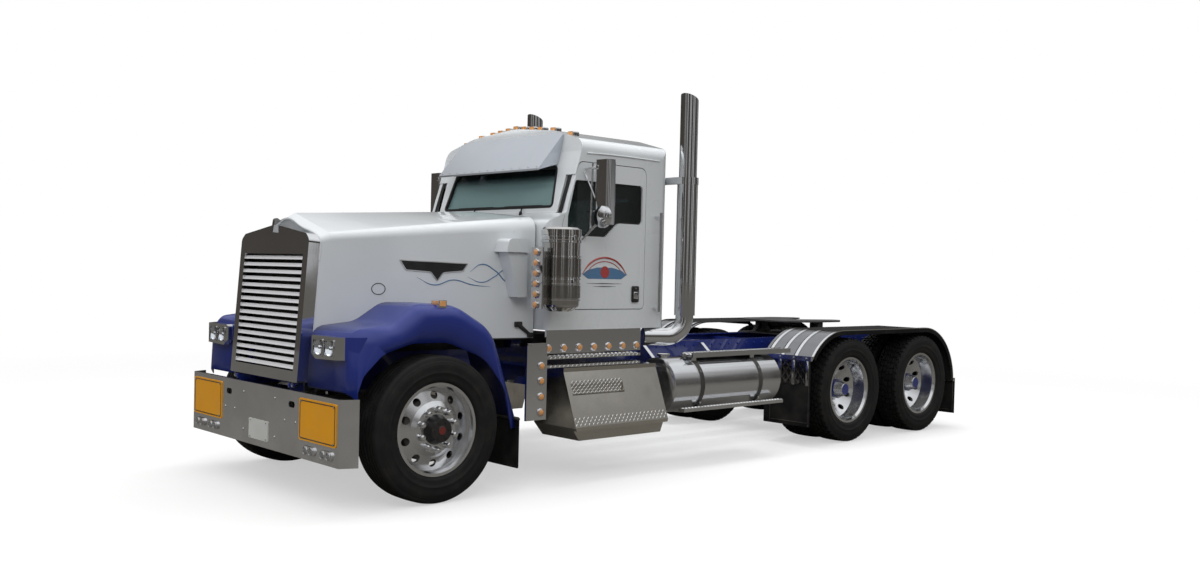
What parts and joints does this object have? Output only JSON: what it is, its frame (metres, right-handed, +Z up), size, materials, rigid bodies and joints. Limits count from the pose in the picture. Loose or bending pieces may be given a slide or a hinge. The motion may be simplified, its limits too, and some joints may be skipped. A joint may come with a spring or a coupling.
{
  "type": "road tractor with day cab",
  "caption": "Long-nosed road tractor with a day cab, tilting hood, opening doors, steered front wheels, tandem drive wheels and a fifth wheel.",
  "frame": {"origin": "on the ground under the middle of the overall length and width", "axes": "+X forward, +Y to the vehicle's left, +Z up"},
  "size_m": [7.85, 2.57, 3.2298],
  "materials": {
    "paint_blue": "gloss",
    "paint_white": "gloss",
    "paint_black": "gloss",
    "sign_yellow": "satin",
    "chrome": "polished",
    "polished_aluminium": "polished",
    "cast_iron": "rough",
    "tyre": "matte",
    "rubber": "matte",
    "glass": "tinted",
    "lens_amber": "clear",
    "lens_clear": "clear",
    "lens_red": "clear",
    "trim_grey": "grained",
    "seat_cloth": "woven"
  },
  "bodies": {
    "chassis": {"frame_rails": "paint_blue", "front_bumper": "chrome", "sign_boards": "sign_yellow", "bumper_lamps": "lens_clear", "front_axle": "paint_black", "front_springs": "paint_black", "drive_axles": "paint_black", "driveshaft": "paint_black", "rear_suspension": "paint_black", "engine_block": "cast_iron", "radiator": "trim_grey", "cab_shell": "paint_white", "cab_windows": "glass", "sun_visor": "chrome", "dashboard": "trim_grey", "steering_wheel": "trim_grey", "seats": "seat_cloth", "air_cleaners": "chrome", "exhaust_stacks": "chrome", "fuel_tanks": "polished_aluminium", "step_boxes": "polished_aluminium", "rocker_panels": "chrome", "marker_lamps": "lens_amber", "deck_plates": "polished_aluminium", "rear_fenders": "paint_black", "fender_trim": "chrome", "mud_flaps": "rubber", "tail_lamps": "lens_red", "grab_bars": "chrome", "fifth_wheel_base": "cast_iron"},
    "hood": {"hood_shell": "paint_white", "grille_shell": "chrome", "grille_bars": "polished_aluminium", "front_fenders": "paint_blue", "headlamps": "chrome", "turn_lamps": "chrome", "intake_ducts": "paint_white"},
    "fifth_wheel": {"fifth_wheel": "cast_iron"},
    "tie_rod": {"tie_rod": "paint_black"},
    "door_left": {"door_left": "paint_white", "door_glass_left": "glass", "mirror_left": "chrome"},
    "knuckle_left": {"knuckle_left": "cast_iron"},
    "front_wheel_left": {"front_tyre_left": "tyre", "front_wheel_left": "polished_aluminium"},
    "drive_wheels_forward_left": {"drive_tyres_forward_left": "tyre", "drive_wheels_forward_left": "polished_aluminium"},
    "drive_wheels_rearward_left": {"drive_tyres_rearward_left": "tyre", "drive_wheels_rearward_left": "polished_aluminium"},
    "door_right": {"door_right": "paint_white", "door_glass_right": "glass", "mirror_right": "chrome"},
    "knuckle_right": {"knuckle_right": "cast_iron"},
    "front_wheel_right": {"front_tyre_right": "tyre", "front_wheel_right": "polished_aluminium"},
    "drive_wheels_forward_right": {"drive_tyres_forward_right": "tyre", "drive_wheels_forward_right": "polished_aluminium"},
    "drive_wheels_rearward_right": {"drive_tyres_rearward_right": "tyre", "drive_wheels_rearward_right": "polished_aluminium"}
  },
  "joints": [
    {"name": "hood_tilt", "type": "hinge", "parent": "chassis", "child": "hood", "pos_m": [3.87, 0, 0.812], "axis": [0, 1, 0], "range_deg": [0, 75]},
    {"name": "fifth_wheel_tilt", "type": "hinge", "parent": "chassis", "child": "fifth_wheel", "pos_m": [-2.395, 0, 1.1], "axis": [0, 1, 0], "range_deg": [-12, 12]},
    {"name": "door_left_swing", "type": "hinge", "parent": "chassis", "child": "door_left", "pos_m": [1.83, 0.962, 1.9], "axis": [0, 0, -1], "range_deg": [0, 65]},
    {"name": "steer_left", "type": "hinge", "parent": "chassis", "child": "knuckle_left", "pos_m": [3.137, 0.885, 0.525], "axis": [0, 0, 1], "range_deg": [-35, 35]},
    {"name": "front_wheel_left_spin", "type": "hinge", "parent": "knuckle_left", "child": "front_wheel_left", "pos_m": [3.137, 1.065, 0.525], "axis": [0, 1, 0], "continuous": true},
    {"name": "drive_wheels_forward_left_spin", "type": "hinge", "parent": "chassis", "child": "drive_wheels_forward_left", "pos_m": [-1.886, 1.065, 0.525], "axis": [0, 1, 0], "continuous": true},
    {"name": "drive_wheels_rearward_left_spin", "type": "hinge", "parent": "chassis", "child": "drive_wheels_rearward_left", "pos_m": [-3.217, 1.065, 0.525], "axis": [0, 1, 0], "continuous": true},
    {"name": "door_right_swing", "type": "hinge", "parent": "chassis", "child": "door_right", "pos_m": [1.83, -0.962, 1.9], "axis": [0, 0, 1], "range_deg": [0, 65]},
    {"name": "steer_right", "type": "hinge", "parent": "chassis", "child": "knuckle_right", "pos_m": [3.137, -0.885, 0.525], "axis": [0, 0, 1], "range_deg": [-35, 35]},
    {"name": "front_wheel_right_spin", "type": "hinge", "parent": "knuckle_right", "child": "front_wheel_right", "pos_m": [3.137, -1.065, 0.525], "axis": [0, 1, 0], "continuous": true},
    {"name": "drive_wheels_forward_right_spin", "type": "hinge", "parent": "chassis", "child": "drive_wheels_forward_right", "pos_m": [-1.886, -1.065, 0.525], "axis": [0, 1, 0], "continuous": true},
    {"name": "drive_wheels_rearward_right_spin", "type": "hinge", "parent": "chassis", "child": "drive_wheels_rearward_right", "pos_m": [-3.217, -1.065, 0.525], "axis": [0, 1, 0], "continuous": true},
    {"name": "tie_rod_swing", "type": "hinge", "parent": "knuckle_left", "child": "tie_rod", "pos_m": [2.967, 0.885, 0.42], "axis": [0, 0, 1], "range_deg": [-35, 35]}
  ],
  "couplings": [
    {"joint": "steer_right", "follows": "steer_left", "ratio": 1},
    {"joint": "tie_rod_swing", "follows": "steer_left", "ratio": -1}
  ]
}
